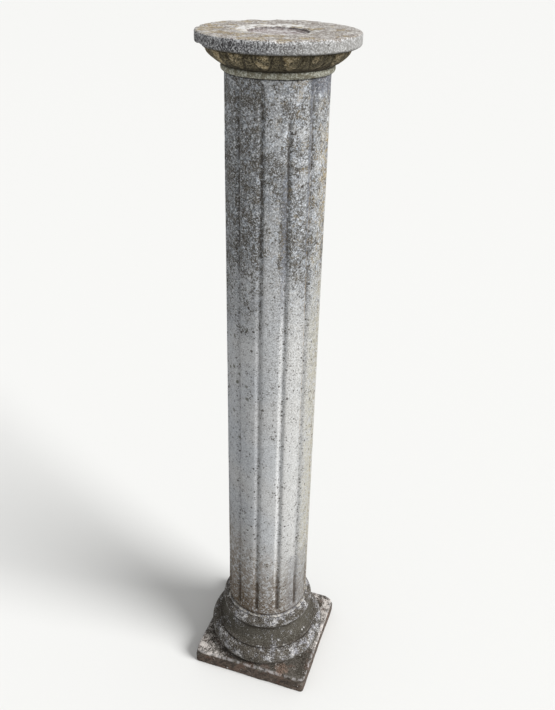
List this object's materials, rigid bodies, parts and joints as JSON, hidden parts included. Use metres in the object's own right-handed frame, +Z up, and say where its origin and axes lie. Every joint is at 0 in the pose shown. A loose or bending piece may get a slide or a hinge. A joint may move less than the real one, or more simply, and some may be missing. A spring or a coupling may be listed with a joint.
{
  "type": "garden column",
  "caption": "Weathered cast-stone column: moulded base on a square plinth, grooved shaft, egg-and-dart capital with a round recessed top slab",
  "frame": {"origin": "centre of the plinth's underside, on the ground", "axes": "+Z up along the column's axis, +X and +Y along the plinth's sides; the picture is taken from the -Y side, 18 degrees towards +X"},
  "size_m": [0.2318, 0.2318, 1.2],
  "materials": {
    "base_stone": "rough weathered cast stone with pale lichen",
    "shaft_stone": "rough weathered cast stone, pitted and speckled with lichen",
    "capital_stone": "rough weathered cast stone, stained and speckled with lichen"
  },
  "bodies": {
    "root": {"base": "base_stone", "shaft": "shaft_stone", "capital": "capital_stone"}
  },
  "joints": []
}
